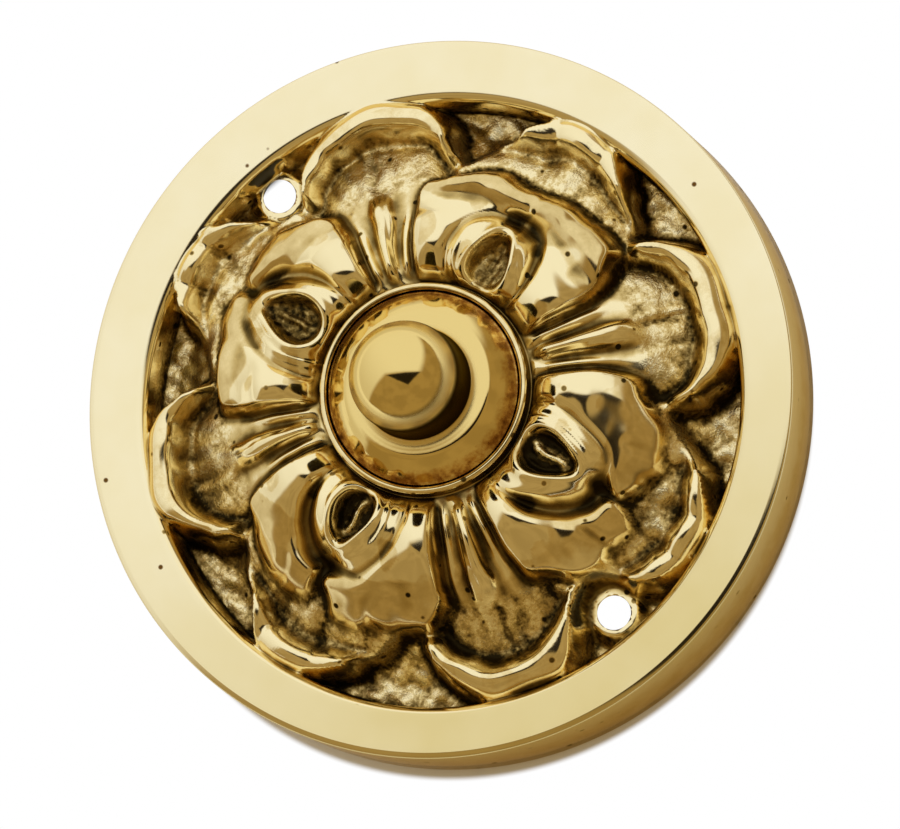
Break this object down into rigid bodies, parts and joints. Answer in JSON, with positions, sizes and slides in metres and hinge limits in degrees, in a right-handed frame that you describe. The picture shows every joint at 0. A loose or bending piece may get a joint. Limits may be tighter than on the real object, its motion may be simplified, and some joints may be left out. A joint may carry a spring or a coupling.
{
  "type": "doorbell push",
  "caption": "Round cast brass doorbell push with carved overlapping leaves, a raised rim, a domed press button and a contact mechanism behind the plate.",
  "frame": {"origin": "centre of the plate's back face, on the plane of the wall or table that it lies on", "axes": "+Z points out of the wall along the button's axis; the fixing screw holes lie on the Y axis, which is upright when the plate is screwed to a wall"},
  "size_m": [0.076, 0.076, 0.029],
  "materials": {
    "cast_brass": "polished cast brass with dark patina in the hollows",
    "turned_brass": "turned and polished brass",
    "phenolic": "moulded black insulating resin",
    "spring_bronze": "rolled spring bronze",
    "strip_brass": "rolled brass strip",
    "contact_metal": "bright silver alloy",
    "screw_steel": "plain zinc plated steel"
  },
  "bodies": {
    "plate": {"front_plate": "cast_brass", "contact_base": "phenolic", "contact_spring": "spring_bronze", "fixed_strip": "strip_brass", "fixed_contact": "contact_metal", "spring_terminal_screw": "turned_brass", "strip_terminal_screw": "turned_brass", "spring_terminal_washer": "turned_brass", "strip_terminal_washer": "turned_brass", "spring_terminal_nut": "turned_brass", "strip_terminal_nut": "turned_brass", "spring_foot_rivet": "turned_brass", "strip_foot_rivet": "turned_brass", "upper_base_screw": "screw_steel", "lower_base_screw": "screw_steel", "upper_base_washer": "screw_steel", "lower_base_washer": "screw_steel"},
    "button": {"push_button": "turned_brass", "spring_contact": "contact_metal"}
  },
  "joints": [
    {"name": "button_press", "type": "slide", "parent": "plate", "child": "button", "axis": [0, 0, -1], "range_m": [0, 0.0016], "stiffness_N_per_m": 600, "springref_m": -0.003, "deforming": ["contact_spring"]}
  ]
}
